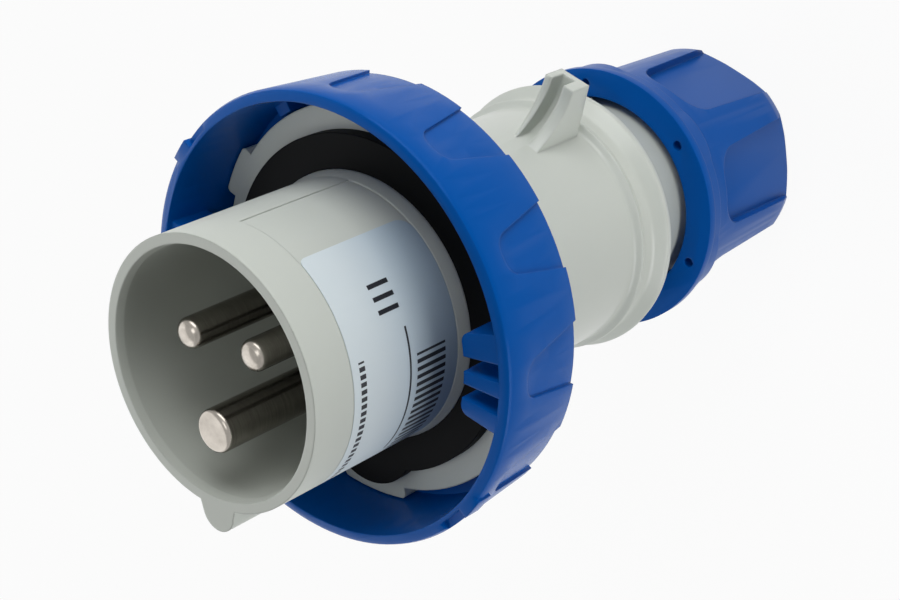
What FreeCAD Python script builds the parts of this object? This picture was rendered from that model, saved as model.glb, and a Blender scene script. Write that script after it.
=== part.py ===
import FreeCAD, Part
import math
import os

# Industrial pin and sleeve plug, 16 A, two poles and earth, all sizes in millimetres.
# The plug stands on the rear face of its gland nut: Z runs up the axis to the open sleeve,
# the key rib is on the -Y side, and clock angles are read from the sleeve side, 12 o'clock at +Y.

# heights along the axis
TOTAL_LENGTH = 134.0
HANDLE_TOP = 92.4
FLANGE_GAP = 2.0
FLANGE_THICKNESS = 3.6
GASKET_THICKNESS = 2.5
RING_LENGTH = 17.6
BAND_LENGTH = 8.0
CARRIER_LIFT = 1.1
CARRIER_THICKNESS = 5.5
BARRIER_LENGTH = 11.0
SPIGOT_LENGTH = 12.4
TERMINAL_DROP = 3.0
PHASE_TIP_DROP = 1.8
EARTH_TIP_DROP = 0.1

# sleeve and front housing
SLEEVE_R = 21.75
SLEEVE_WALL = 2.0
COLLAR_STEP = 0.55
HUB_STEP = 1.55
LEDGE_WIDTH = 4.45
SPIGOT_WALL = 3.7
EAR_SPANS = ((50.7, 69.3), (170.7, 193.5), (290.7, 306.8))
EAR_REACH = 1.9
KEY_REACH = 4.05
KEY_HALF_WIDTH = 3.9
LABEL_START = 33.0
LABEL_END = 160.0
LABEL_THICKNESS = 0.15
LABEL_FRONT_CORNER = 1.3
LABEL_REAR_CORNER = 2.6
RECESS_START = 1.4
RECESS_MARGIN = 6.0
SEAL_GROOVE_DEPTH = 1.5
SEAL_GROOVE_WIDTH = 2.5
SEAL_GROOVE_LIFT = 6.4

# face gasket
GASKET_OVERLAP = 0.75
GASKET_LOBE_R = 9.5
GASKET_LOBE_INSET = 1.1

# coupling ring
RING_FRONT_R = 37.2
RING_TAPER = 1.05
RING_RIM = 1.95
RING_WALL = 1.55
LUG_REACH = 7.35
LUG_START = 79.0
LUG_END = 105.5
LUG_RIB = 2.0
RING_POCKETS = 12
RING_POCKET_CLOCK = 2.3
RING_POCKET_DEPTH = 0.5
RIB_BEFORE_EAR = 45.2
RIB_AFTER_EAR = 34.8
STOP_RIB_WIDTH = 5.0
NOTCH_START = 310.8
NOTCH_WIDTH = 8.5
NIB_WIDTH = 6.6

# contacts
PHASE_PIN_R = 2.5
EARTH_PIN_R = 3.5
CONTACT_INSET = 1.8
PHASE_EXTRA_INSET = 1.5
PIN_WAIST = 0.25
PIN_WAIST_LIFT = 0.3
BARREL_R = 4.2
BARREL_OVERHANG = 5.5
WIRE_HOLE_R = 2.4
WIRE_HOLE_DEPTH = 11.0
TERMINAL_SCREW_R = 1.7
CARRIER_SCREW_R = 1.25

# handle
BODY_WALL = 2.4
SHOULDER_STEP = 4.6
CREST_STEP = 2.5
HANDLE_CREST_Z = 49.3
CATCH_CLOCK = 20.0
CATCH_REACH = 10.5
NECK_R = 18.4
NECK_STEP = 28.0
NECK_NOSE_STEP = 1.4
NECK_END = 16.0
NECK_WALL = 1.7
THROAT_STEP = 2.8

# gland
NUT_TOP = 37.0
NUT_FLANGE_HEIGHT = 4.6
NUT_FLANGE_R = 24.0
NUT_BAND_INSET = 0.7
NUT_FRONT_R = 21.4
NUT_REAR_INSET = 0.6
NUT_MOUTH_GAP = 0.6
NUT_FLAT_CLOCK = 22.0
NUT_FLAT_WALL = 0.6
NUT_LOBE_R = 12.0
DRAIN_R = 0.9
CABLE_HOLE_GAP = 3.0
GROMMET_LENGTH = 14.0
GROMMET_WALL = 8.8
WASHER_SEAT = 3.5
WASHER_THICKNESS = 1.5
WASHER_INSET = 3.0
BASKET_WALL = 3.0
FINGERS = 6
FINGER_SLOT = 1.4

RUNNING_GAP = 0.1
FLANGE_REAR = HANDLE_TOP + FLANGE_GAP
FLANGE_FRONT = FLANGE_REAR + FLANGE_THICKNESS
GASKET_TOP = FLANGE_FRONT + GASKET_THICKNESS
RING_TOP = HANDLE_TOP + RING_LENGTH
BAND_REAR = TOTAL_LENGTH - BAND_LENGTH
CARRIER_REAR = HANDLE_TOP + CARRIER_LIFT
CARRIER_TOP = CARRIER_REAR + CARRIER_THICKNESS
SPIGOT_END = HANDLE_TOP - SPIGOT_LENGTH
TERMINAL_Z = SPIGOT_END - TERMINAL_DROP
BARREL_REAR = TERMINAL_Z - BARREL_OVERHANG
SLEEVE_BORE_R = SLEEVE_R - SLEEVE_WALL
COLLAR_R = SLEEVE_R + COLLAR_STEP
HUB_R = SLEEVE_R + HUB_STEP
LEDGE_BORE_R = SLEEVE_BORE_R - LEDGE_WIDTH
SPIGOT_R = LEDGE_BORE_R + SPIGOT_WALL
EARTH_CIRCLE_R = LEDGE_BORE_R - BARREL_R - CONTACT_INSET
PHASE_CIRCLE_R = EARTH_CIRCLE_R - PHASE_EXTRA_INSET
RECESS_R = SLEEVE_R - LABEL_THICKNESS
RECESS_END = LABEL_END + RECESS_MARGIN
KEY_TIP_R = SLEEVE_R + KEY_REACH
CARRIER_SCREW_CIRCLE = (SLEEVE_BORE_R + LEDGE_BORE_R) / 2 - 0.5
RING_REAR_R = RING_FRONT_R - RING_TAPER
RING_MOUTH_R = RING_FRONT_R - RING_RIM
RING_BORE_R = RING_REAR_R - RING_WALL
LUG_INNER_R = RING_MOUTH_R - LUG_REACH
EAR_R = RING_BORE_R - 3 * RUNNING_GAP
FLANGE_R = EAR_R - EAR_REACH
GASKET_R = (FLANGE_R + COLLAR_R) / 2 + GASKET_OVERLAP
GASKET_LOBE_REACH = FLANGE_R - GASKET_LOBE_INSET
HANDLE_BODY_R = SPIGOT_R + BODY_WALL
HANDLE_SHOULDER_R = HANDLE_BODY_R + SHOULDER_STEP
HANDLE_CREST_R = HANDLE_BODY_R + CREST_STEP
CATCH_TOP_R = HANDLE_BODY_R + CATCH_REACH
CAVITY_R = SPIGOT_R - 2 * RUNNING_GAP
NECK_NOSE_R = NECK_R - NECK_NOSE_STEP
SEAT_BORE_R = NECK_NOSE_R - NECK_WALL
THROAT_R = SEAT_BORE_R - THROAT_STEP
GROMMET_TOP = NECK_END + GROMMET_LENGTH
NUT_REAR_R = NUT_FRONT_R - NUT_REAR_INSET
NUT_MOUTH_R = NECK_R + NUT_MOUTH_GAP
NUT_FLAT_REACH = NECK_NOSE_R + NUT_FLAT_WALL
CABLE_BORE_R = SEAT_BORE_R - GROMMET_WALL
CABLE_HOLE_R = CABLE_BORE_R + CABLE_HOLE_GAP
WASHER_R = NECK_NOSE_R - WASHER_INSET
BASKET_R = WASHER_R - 8 * RUNNING_GAP
Z_AXIS = FreeCAD.Vector(0, 0, 1)
ORIGIN = FreeCAD.Vector(0, 0, 0)


def vec(x, y, z=0.0):
    return FreeCAD.Vector(x, y, z)


def at_clock(radius, clock, z=0.0):
    angle = math.radians(clock)
    return vec(radius * math.sin(angle), radius * math.cos(angle), z)


def turned(shape, clock):
    copy = shape.copy()
    copy.rotate(ORIGIN, Z_AXIS, -clock)
    return copy


def rod(radius, z0, z1, centre=ORIGIN):
    return Part.makeCylinder(radius, z1 - z0, vec(centre.x, centre.y, z0))


def tube(outer, inner, z0, z1):
    return rod(outer, z0, z1).cut(rod(inner, z0 - 1, z1 + 1))


def lathe(profile, centre=ORIGIN):
    points = [vec(r, 0, z) for r, z in profile]
    face = Part.Face(Part.makePolygon(points + points[:1]))
    solid = face.revolve(ORIGIN, Z_AXIS, 360)
    solid.translate(vec(centre.x, centre.y))
    return solid


def sector(inner, outer, clock0, clock1, z0, z1):
    ring = Part.makeCylinder(outer, z1 - z0, vec(0, 0, z0), Z_AXIS, clock1 - clock0)
    ring.rotate(ORIGIN, Z_AXIS, 90 - clock1)
    return ring.cut(rod(inner, z0 - 1, z1 + 1))


def frustum(low, high):
    """Six-sided block between two level rectangles given as (x0, x1, z0, z1, y)."""
    rings = []
    for x0, x1, z0, z1, y in (low, high):
        rings.append([vec(x0, y, z0), vec(x1, y, z0), vec(x1, y, z1), vec(x0, y, z1)])
    sides = [[rings[0][i], rings[0][(i + 1) % 4], rings[1][(i + 1) % 4], rings[1][i]] for i in range(4)]
    faces = [Part.Face(Part.makePolygon(corners + corners[:1])) for corners in rings + sides]
    solid = Part.makeSolid(Part.makeShell(faces))
    solid.fix(0.01, 0.01, 0.01)
    return solid


def prism(edges, run, shift=ORIGIN):
    """Solid pushed out from a closed loop of edges, moved by a shift first."""
    solid = Part.Face(Part.Wire(Part.__sortEdges__(edges))).extrude(run)
    solid.translate(shift)
    return solid


def soften(shape, size, wanted, rounded=True):
    """Fillet or bevel the wanted edges, or leave the shape sharp where that can't be done."""
    edges = [edge for edge in shape.Edges if wanted(edge)]
    try:
        softer = shape.makeFillet(size, edges) if rounded else shape.makeChamfer(size, edges)
        return softer if softer.isValid() and softer.Volume > 0 else shape
    except (Part.OCCError, RuntimeError):
        return shape


def upright(edge):
    ends = [v.Point for v in edge.Vertexes]
    return len(ends) == 2 and math.hypot(ends[0].x - ends[1].x, ends[0].y - ends[1].y) < 0.01


def edge_radius(edge):
    return math.hypot(edge.CenterOfMass.x, edge.CenterOfMass.y)


def export(shape, name):
    shape.removeSplitter().exportStep(os.path.join("parts", name + ".step"))


def key_prism(grow, z0, z1):
    """Key rib at 6 o'clock with a rounded tip, grown by a clearance for cut-outs."""
    half, tip = KEY_HALF_WIDTH + grow, KEY_TIP_R + grow
    root = vec(half, -SLEEVE_R + 1.2, z0)
    side = vec(0.78 * half, -tip + 0.52 * (tip - SLEEVE_R), z0)
    mirror = [vec(-p.x, p.y, z0) for p in (root, side)]
    edges = [
        Part.makeLine(mirror[0], mirror[1]),
        Part.Arc(mirror[1], vec(0, -tip, z0), side).toShape(),
        Part.makeLine(side, root),
        Part.makeLine(root, mirror[0]),
    ]
    return Part.Face(Part.Wire(edges)).extrude(vec(0, 0, z1 - z0))


def make_front_housing():
    """Sleeve, flange with three ears, hub and spigot in one moulding."""
    groove_r = SPIGOT_R - SEAL_GROOVE_DEPTH
    groove_low = SPIGOT_END + SEAL_GROOVE_LIFT
    groove_high = groove_low + SEAL_GROOVE_WIDTH
    flare_top = GASKET_TOP + 2.4
    body = lathe([
        (SLEEVE_BORE_R + 0.35, TOTAL_LENGTH), (SLEEVE_R, TOTAL_LENGTH), (SLEEVE_R, flare_top),
        (COLLAR_R, GASKET_TOP + 0.3), (COLLAR_R, FLANGE_FRONT), (FLANGE_R, FLANGE_FRONT),
        (FLANGE_R, FLANGE_REAR), (HUB_R, FLANGE_REAR), (HUB_R, HANDLE_TOP), (SPIGOT_R, HANDLE_TOP),
        (SPIGOT_R, groove_high), (groove_r, groove_high), (groove_r, groove_low), (SPIGOT_R, groove_low),
        (SPIGOT_R, SPIGOT_END), (LEDGE_BORE_R, SPIGOT_END), (LEDGE_BORE_R, CARRIER_REAR),
        (SLEEVE_BORE_R, CARRIER_REAR), (SLEEVE_BORE_R, TOTAL_LENGTH - 1.4),
    ])
    for start, end in EAR_SPANS:
        ear = sector(FLANGE_R - 1.5, EAR_R, start, end, FLANGE_REAR, FLANGE_FRONT)
        body = body.fuse(soften(ear, 0.8, lambda e: upright(e) and edge_radius(e) > FLANGE_R))
    body = body.fuse(key_prism(0.0, FLANGE_FRONT - 0.5, TOTAL_LENGTH))
    body = body.cut(sector(RECESS_R, SLEEVE_R + 1, RECESS_START, RECESS_END, flare_top, BAND_REAR))
    for centre in carrier_screw_places():
        body = body.cut(rod(CARRIER_SCREW_R, CARRIER_REAR - 3.5, CARRIER_REAR + 1, centre))
    return body


def make_label():
    """Thin curved label with rounded corners, seated in the recess of the sleeve."""
    low, high = GASKET_TOP + 2.5, BAND_REAR - 0.1
    sheet = sector(RECESS_R, SLEEVE_R - 0.01, LABEL_START, LABEL_END, low, high)
    for clock, side in ((LABEL_START, 1), (LABEL_END, -1)):
        for z, up, size in ((low, 1, LABEL_REAR_CORNER), (high, -1, LABEL_FRONT_CORNER)):
            corner = Part.makeBox(size, SLEEVE_R, size, vec(min(0, side * size), 0, min(z, z + up * size)))
            round_part = Part.makeCylinder(size, SLEEVE_R, vec(side * size, 0, z + up * size), vec(0, 1, 0))
            margin = Part.makeBox(1.0, SLEEVE_R, size, vec(min(0, -side), 0, min(z, z + up * size)))
            sheet = sheet.cut(turned(corner.cut(round_part).fuse(margin), clock))
    return sheet


def make_face_gasket():
    """Flat gasket round the sleeve with a lobe under the key rib."""
    body = rod(GASKET_R, FLANGE_FRONT, GASKET_TOP)
    lobe_centre = at_clock(GASKET_LOBE_REACH - GASKET_LOBE_R, 180)
    body = body.fuse(rod(GASKET_LOBE_R, FLANGE_FRONT, GASKET_TOP, lobe_centre)).removeSplitter()
    body = body.cut(rod(COLLAR_R, FLANGE_FRONT - 1, GASKET_TOP + 1))
    return body.cut(key_prism(0.15, FLANGE_FRONT - 1, GASKET_TOP + 1))


def ring_pocket():
    """Tongue-shaped grip pocket at 12 o'clock, open at the rear edge of the ring."""
    z0, z1 = HANDLE_TOP - 1, RING_TOP - 4.6
    slope = (RING_FRONT_R - RING_REAR_R) / RING_LENGTH
    nose, wide, narrow = 2.6, 5.5, 3.3
    corners = [vec(-wide, 0, z0), vec(-narrow, 0, z1 - nose), vec(-narrow + 1.0, 0, z1 - 0.7), vec(0, 0, z1),
               vec(narrow - 1.0, 0, z1 - 0.7), vec(narrow, 0, z1 - nose), vec(wide, 0, z0)]
    edges = [Part.makeLine(corners[0], corners[1]), Part.Arc(corners[1], corners[2], corners[3]).toShape(),
             Part.Arc(corners[3], corners[4], corners[5]).toShape(), Part.makeLine(corners[5], corners[6]),
             Part.makeLine(corners[6], corners[0])]
    tongue = Part.Face(Part.Wire(edges)).extrude(vec(0, 60, 0))
    r0 = RING_REAR_R - RING_POCKET_DEPTH - slope
    r1 = r0 + slope * (z1 + 1 - z0)
    return tongue.cut(Part.makeCone(r0, r1, z1 + 1 - z0, vec(0, 0, z0)))


def make_coupling_ring():
    """Bayonet ring: two lugs, two rim notches, stop ribs for the ears and twelve grip pockets."""
    lip_top = FLANGE_REAR - RUNNING_GAP
    lip_bore = HUB_R + 2 * RUNNING_GAP
    body = lathe([
        (RING_MOUTH_R, RING_TOP), (RING_FRONT_R - 1.1, RING_TOP), (RING_FRONT_R - 0.3, RING_TOP - 0.3),
        (RING_FRONT_R, RING_TOP - 1.1), (RING_REAR_R, HANDLE_TOP), (lip_bore, HANDLE_TOP),
        (lip_bore, lip_top), (RING_BORE_R, lip_top), (RING_BORE_R, FLANGE_FRONT + 1.0),
    ])
    for turn in (0, 180):
        body = body.fuse(make_lug(turn))
        start, low = NOTCH_START + turn, RING_TOP - 3.0
        nib = sector(RING_MOUTH_R + 0.3, RING_FRONT_R + 0.3, start - NIB_WIDTH, start, low, RING_TOP)
        notch = sector(RING_MOUTH_R + 0.6, RING_FRONT_R + 1, start, start + NOTCH_WIDTH,
                       RING_TOP - 1.0, RING_TOP + 1)
        body = body.fuse(nib).cut(notch)
    for ear, _ in EAR_SPANS:
        for start in (ear - RIB_BEFORE_EAR, ear + RIB_AFTER_EAR):
            body = body.fuse(sector(FLANGE_R + 0.4, RING_BORE_R + 0.4, start, start + STOP_RIB_WIDTH,
                                    lip_top - 0.3, FLANGE_FRONT))
    pocket = ring_pocket()
    for index in range(RING_POCKETS):
        body = body.cut(turned(pocket, RING_POCKET_CLOCK + index * 360.0 / RING_POCKETS))
    return body


def make_lug(turn):
    """Inward bayonet lug with two cored windows between three radial ribs."""
    top, low = RING_TOP - 1.0, GASKET_TOP + 1.0
    lug = sector(LUG_INNER_R, RING_MOUTH_R + 0.5, LUG_START, LUG_END, low, top)
    lug = soften(lug, 1.6, lambda e: upright(e) and edge_radius(e) < LUG_INNER_R + 1.0)
    for start in (LUG_START + 7.6, LUG_START + 16.6):
        lug = lug.cut(sector(LUG_INNER_R - 1, RING_MOUTH_R - 0.6, start, start + 4.8, low + LUG_RIB, top + 1))
    return turned(lug, turn)


def pin_profile(radius, tip, dome):
    """Side of one contact from the tip down to the rear of its terminal barrel."""
    if dome:
        turns = [math.radians(angle) for angle in (0, 30, 60, 90)]
        nose = [(radius * math.sin(turn), tip - radius * (1 - math.cos(turn))) for turn in turns]
    else:
        nose = [(0.0, tip), (radius - 0.9, tip), (radius - 0.25, tip - 0.25), (radius, tip - 0.9)]
    waist = radius - PIN_WAIST
    return nose + [
        (radius, CARRIER_TOP + PIN_WAIST_LIFT), (waist, CARRIER_TOP + PIN_WAIST_LIFT), (waist, CARRIER_REAR),
        (BARREL_R, CARRIER_REAR), (BARREL_R, BARREL_REAR), (0.0, BARREL_REAR),
    ]


def make_pin(radius, tip, circle, clock, dome):
    """Turned contact with a wire hole and a cross hole for its clamping screw."""
    centre = at_clock(circle, clock)
    body = lathe(pin_profile(radius, tip, dome), centre)
    body = body.cut(rod(WIRE_HOLE_R, BARREL_REAR - 1, BARREL_REAR + WIRE_HOLE_DEPTH, centre))
    start = centre + vec(0, 0, TERMINAL_Z)
    return body.cut(Part.makeCylinder(TERMINAL_SCREW_R, 2 * BARREL_R, start, at_clock(1.0, clock)))


def make_terminal_screw(circle, clock):
    """Slotted clamping screw set radially in the terminal barrel."""
    centre = at_clock(circle, clock, TERMINAL_Z)
    outward = at_clock(1.0, clock)
    tip = WIRE_HOLE_R - 0.5
    shank = Part.makeCylinder(TERMINAL_SCREW_R - 0.02, BARREL_R + 0.7 - tip, centre + outward * tip, outward)
    head = Part.makeCylinder(2.5, 1.8, centre + outward * (BARREL_R + 0.6), outward)
    slot = Part.makeBox(6.0, 1.0, 0.8, vec(-3.0, circle + BARREL_R + 1.6, TERMINAL_Z - 0.4))
    return shank.fuse(head).cut(turned(slot, clock))


def make_clamp_plate(circle, clock):
    """Small plate that the terminal screw presses on the conductor."""
    reach = circle + WIRE_HOLE_R - 0.5
    block = Part.makeBox(2.6, 0.9, 5.0, vec(-1.3, reach - 0.9, TERMINAL_Z - 2.5))
    return turned(block, clock)


def carrier_screw_places():
    return [at_clock(CARRIER_SCREW_CIRCLE, 180 + 60 * sign) for sign in (-1, 1)]


def make_contact_carrier():
    """Insulating disc that the contacts pass through, with barriers between the terminals."""
    body = rod(SLEEVE_BORE_R - 2 * RUNNING_GAP, CARRIER_REAR, CARRIER_TOP)
    for clock in (0, 120, 240):
        barrier = Part.makeBox(1.2, LEDGE_BORE_R - 0.5, BARRIER_LENGTH + 1,
                               vec(-0.6, 0, CARRIER_REAR - BARRIER_LENGTH))
        body = body.fuse(turned(barrier, clock))
    for radius, tip, circle, clock, dome in contact_table():
        hole = rod(radius - PIN_WAIST, CARRIER_REAR - 1, CARRIER_TOP + 2, at_clock(circle, clock))
        body = body.cut(hole)
    for centre in carrier_screw_places():
        body = body.cut(rod(CARRIER_SCREW_R + 0.05, CARRIER_REAR - 1, CARRIER_TOP + 1, centre))
    return body


def make_carrier_screw(centre):
    """Slotted screw that holds the carrier on the ledge of the housing."""
    shank = rod(CARRIER_SCREW_R - 0.01, CARRIER_REAR - 3.4, CARRIER_TOP, centre)
    head = rod(2.2, CARRIER_TOP, CARRIER_TOP + 1.5, centre)
    slot = Part.makeBox(6.0, 0.7, 1.0, vec(centre.x - 3.0, centre.y - 0.35, CARRIER_TOP + 0.8))
    return shank.fuse(head).cut(slot)


def make_body_seal():
    low = SPIGOT_END + SEAL_GROOVE_LIFT + RUNNING_GAP
    return tube(SPIGOT_R + 0.05, SPIGOT_R - SEAL_GROOVE_DEPTH, low, low + SEAL_GROOVE_WIDTH - 2 * RUNNING_GAP)


def make_rear_handle():
    """Hollow grip with a rounded crest, a neck for the gland nut and the lid catch."""
    crest, socket_r = HANDLE_CREST_Z, SPIGOT_R + 0.05
    cavity_floor, cavity_top = crest + 5.0, SPIGOT_END - RUNNING_GAP
    body = lathe([
        (HANDLE_SHOULDER_R, HANDLE_TOP), (HANDLE_SHOULDER_R, HANDLE_TOP - 3.4),
        (HANDLE_BODY_R, HANDLE_TOP - 7.5), (HANDLE_BODY_R, crest + 6.6), (HANDLE_CREST_R - 1.4, crest + 5.4),
        (HANDLE_CREST_R - 1.1, crest + 2.4), (HANDLE_CREST_R, crest + 0.2),
        (HANDLE_CREST_R - 0.6, crest - 1.4), (NECK_R, crest - 4.4), (NECK_R, NECK_STEP),
        (NECK_NOSE_R, NECK_STEP), (NECK_NOSE_R, NECK_END), (SEAT_BORE_R, NECK_END),
        (SEAT_BORE_R, GROMMET_TOP), (THROAT_R, GROMMET_TOP), (THROAT_R, cavity_floor),
        (CAVITY_R, cavity_floor), (CAVITY_R, cavity_top), (socket_r, cavity_top), (socket_r, HANDLE_TOP),
    ])
    return body.fuse(make_catch()).cut(rod(CAVITY_R, cavity_floor, cavity_top))


def make_catch():
    """Hood on the handle that the socket lid hooks into: a curved front with a scooped channel."""
    root, top = HANDLE_BODY_R - 1.9, CATCH_TOP_R
    foot, roof = HANDLE_CREST_Z + 7.7, HANDLE_CREST_Z + 9.3
    toe, brow = foot + 11.7, roof + 4.4
    side = [vec(0, root, foot), vec(0, top, roof), vec(0, top, brow), vec(0, root + 1.4, toe),
            vec(0, root, toe)]
    front = Part.Arc(side[2], vec(0, root + 6.4, brow + 1.3), side[3]).toShape()
    outline = [Part.makeLine(side[i], side[(i + 1) % 5]) for i in (0, 1, 3, 4)]
    hood = prism(outline[:2] + [front] + outline[2:], vec(7.2, 0, 0), vec(-3.6, 0, 0))
    plan = [vec(-3.6, 0, foot), vec(3.5, 0, foot), vec(3.5, 0, brow), vec(2.9, 0, toe), vec(-2.5, 0, toe),
            vec(-3.6, 0, brow)]
    hood = hood.common(prism(Part.makePolygon(plan + plan[:1]).Edges, vec(0, 40, 0)))
    hood = soften(hood, 0.7, lambda e: e.CenterOfMass.y > top - 0.1, rounded=False)
    back, sill = vec(0, top - 1.3, roof + 1.3), vec(0, HANDLE_BODY_R + 0.1, foot + 8.6)
    beyond = [vec(0, sill.y, toe + 8), vec(0, back.y, toe + 8)]
    floor = Part.Arc(back, vec(0, (back.y + sill.y) / 2 - 1.4, (back.z + sill.z) / 2 - 1.2), sill).toShape()
    edges = [floor, Part.makeLine(sill, beyond[0]), Part.makeLine(*beyond), Part.makeLine(beyond[1], back)]
    channel = prism(edges, vec(3.2, 0, 0), vec(-2.05, 0, 0))
    return turned(hood.cut(channel), CATCH_CLOCK)


def nut_flat():
    """One D-shaped flat at 12 o'clock: a sloping floor with side walls, open at the rear."""
    front, corner, rear_half, half = NUT_TOP - 9.8, 5.2, 8.0, 7.1
    edges = []
    for side in (-1, 1):
        foot, bend = vec(side * rear_half, 0, -1), vec(side * half, 0, front - corner)
        middle = vec(side * (half - 0.29 * corner), 0, front - 0.29 * corner)
        crown = vec(side * (half - corner), 0, front)
        edges += [Part.makeLine(foot, bend), Part.Arc(bend, middle, crown).toShape()]
    edges.append(Part.makeLine(vec(corner - half, 0, front), vec(half - corner, 0, front)))
    edges.append(Part.makeLine(vec(-rear_half, 0, -1), vec(rear_half, 0, -1)))
    tool = Part.Face(Part.Wire(Part.__sortEdges__(edges))).extrude(vec(0, 30, 0))
    floor = frustum((-15, 15, -2, 60, 0.0), (-15, 15, -2, 60, NUT_FLAT_REACH))
    floor.rotate(vec(0, NUT_FLAT_REACH, 0), vec(1, 0, 0), -math.degrees(math.atan(NUT_REAR_INSET / front)))
    return tool.cut(floor)


def make_gland_nut():
    """Lobed nut with a rounded rear, six flats and a drain hole in front of each ridge."""
    band_rear = NUT_TOP - NUT_FLANGE_HEIGHT
    band_r = NUT_FLANGE_R - NUT_BAND_INSET
    nose_bore, neck_bore = NECK_NOSE_R + RUNNING_GAP, NECK_R + RUNNING_GAP
    washer_bore, washer_room = WASHER_R + 2 * RUNNING_GAP, NECK_END - 2.5
    body = lathe([
        (NUT_MOUTH_R, NUT_TOP), (NUT_FLANGE_R, NUT_TOP), (NUT_FLANGE_R, NUT_TOP - 1.8),
        (band_r, NUT_TOP - 1.8), (band_r, band_rear), (NUT_FRONT_R, band_rear - 1.2),
        (NUT_REAR_R, 4.6), (NUT_REAR_R - 0.5, 2.3), (NUT_REAR_R - 1.7, 0.8), (NUT_REAR_R - 3.6, 0.0),
        (CABLE_HOLE_R, 0.0), (CABLE_HOLE_R, WASHER_SEAT), (washer_bore, WASHER_SEAT),
        (washer_bore, washer_room), (nose_bore, washer_room), (nose_bore, NECK_STEP - 1.0),
        (neck_bore, NECK_STEP - 1.0), (neck_bore, NUT_TOP - 2.0), (NUT_MOUTH_R, NUT_TOP - 2.0),
    ])
    flat = nut_flat()
    drain = rod(DRAIN_R, NUT_TOP - 2.0, NUT_TOP + 1, at_clock(NUT_FLANGE_R - 2.7, 30))
    lobe = rod(NUT_LOBE_R, band_rear, NUT_TOP - 1.8, at_clock(NUT_FLANGE_R - 0.1 - NUT_LOBE_R, 30))
    lobe = lobe.cut(rod(band_r - 1.5, band_rear - 1, NUT_TOP))
    for index in range(6):
        clock = NUT_FLAT_CLOCK + index * 60
        body = body.fuse(turned(lobe, clock)).cut(turned(drain, clock)).cut(turned(flat, clock))
    return body


def make_gland_washer():
    return tube(WASHER_R, CABLE_HOLE_R + 3 * RUNNING_GAP, WASHER_SEAT, WASHER_SEAT + WASHER_THICKNESS)


def make_clamp_basket():
    """Flanged collar with slotted fingers that the nut closes on the cable."""
    low, flange = WASHER_SEAT + WASHER_THICKNESS, NECK_END - 1.5
    inner, flange_r = BASKET_R - BASKET_WALL, SEAT_BORE_R + 1.1
    body = lathe([
        (inner, low), (BASKET_R, low), (BASKET_R, flange), (flange_r, flange),
        (flange_r, NECK_END), (inner, NECK_END),
    ])
    slot = Part.makeBox(FINGER_SLOT, BASKET_R, flange - 1.5 - low + 1, vec(-FINGER_SLOT / 2, 5.0, low - 1))
    for index in range(FINGERS):
        body = body.cut(turned(slot, index * 360.0 / FINGERS))
    return body


def make_gland_grommet():
    return tube(SEAT_BORE_R - 0.05, CABLE_BORE_R, NECK_END, GROMMET_TOP)


def contact_table():
    phase_tip, earth_tip = TOTAL_LENGTH - PHASE_TIP_DROP, TOTAL_LENGTH - EARTH_TIP_DROP
    return [
        (PHASE_PIN_R, phase_tip, PHASE_CIRCLE_R, 300, True),
        (PHASE_PIN_R, phase_tip, PHASE_CIRCLE_R, 60, True),
        (EARTH_PIN_R, earth_tip, EARTH_CIRCLE_R, 180, False),
    ]


def main():
    os.makedirs("parts", exist_ok=True)
    export(make_front_housing(), "front_housing")
    export(make_label(), "label")
    export(make_face_gasket(), "face_gasket")
    export(make_coupling_ring(), "coupling_ring")
    for pole, (radius, tip, circle, clock, dome) in zip(("line", "neutral", "earth"), contact_table()):
        export(make_pin(radius, tip, circle, clock, dome), pole + "_pin")
        export(make_terminal_screw(circle, clock), pole + "_terminal_screw")
        export(make_clamp_plate(circle, clock), pole + "_clamp_plate")
    export(make_contact_carrier(), "contact_carrier")
    for number, centre in enumerate(carrier_screw_places(), start=1):
        export(make_carrier_screw(centre), "carrier_screw_%d" % number)
    export(make_body_seal(), "body_seal")
    export(make_rear_handle(), "rear_handle")
    export(make_gland_grommet(), "gland_grommet")
    export(make_clamp_basket(), "clamp_basket")
    export(make_gland_washer(), "gland_washer")
    export(make_gland_nut(), "gland_nut")


main()
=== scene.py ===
"""Looks of an industrial pin and sleeve plug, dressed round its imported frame.

The plug stands on its gland nut with the sleeve up. Sizes in the classes are millimetres,
clock angles are read from the sleeve side with 12 o'clock at +Y, and every finished mesh is in metres.
"""

import logging
import math
from dataclasses import dataclass
from enum import Enum
from typing import Sequence

import bmesh
import bpy
from mathutils import Matrix, Vector


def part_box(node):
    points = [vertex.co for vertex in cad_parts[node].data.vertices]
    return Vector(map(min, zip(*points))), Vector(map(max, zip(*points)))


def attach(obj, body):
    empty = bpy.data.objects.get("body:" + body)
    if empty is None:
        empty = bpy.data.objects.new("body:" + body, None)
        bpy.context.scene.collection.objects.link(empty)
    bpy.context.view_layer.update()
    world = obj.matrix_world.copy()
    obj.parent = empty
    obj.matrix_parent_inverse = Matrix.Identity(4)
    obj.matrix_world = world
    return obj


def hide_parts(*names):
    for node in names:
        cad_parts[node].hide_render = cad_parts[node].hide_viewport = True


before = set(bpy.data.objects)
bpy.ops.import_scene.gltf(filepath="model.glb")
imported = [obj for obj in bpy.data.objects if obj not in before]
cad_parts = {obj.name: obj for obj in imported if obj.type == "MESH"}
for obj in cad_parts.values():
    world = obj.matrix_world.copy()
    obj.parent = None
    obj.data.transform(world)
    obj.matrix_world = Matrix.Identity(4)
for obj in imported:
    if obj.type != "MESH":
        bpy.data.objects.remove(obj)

LOG = logging.getLogger("plug")
MM = 0.001
CREASE = math.radians(32.0)  # edges past this angle stay crisp
FLAT = math.radians(0.4)  # facets within this angle become one face
WELD = 2e-6  # metres, merges the corners of a node's copy
SEAM = 0.0005  # millimetres, closes the seam of a turned shape
FILLET_SHARE = 0.49  # most of an edge that one fillet may take
PATCH_EDGES = ("Clock From", "Clock To", "Height From", "Height To")
Colour = tuple[float, float, float]
Corner = tuple[float, float, float]
Point = tuple[float, float]


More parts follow.
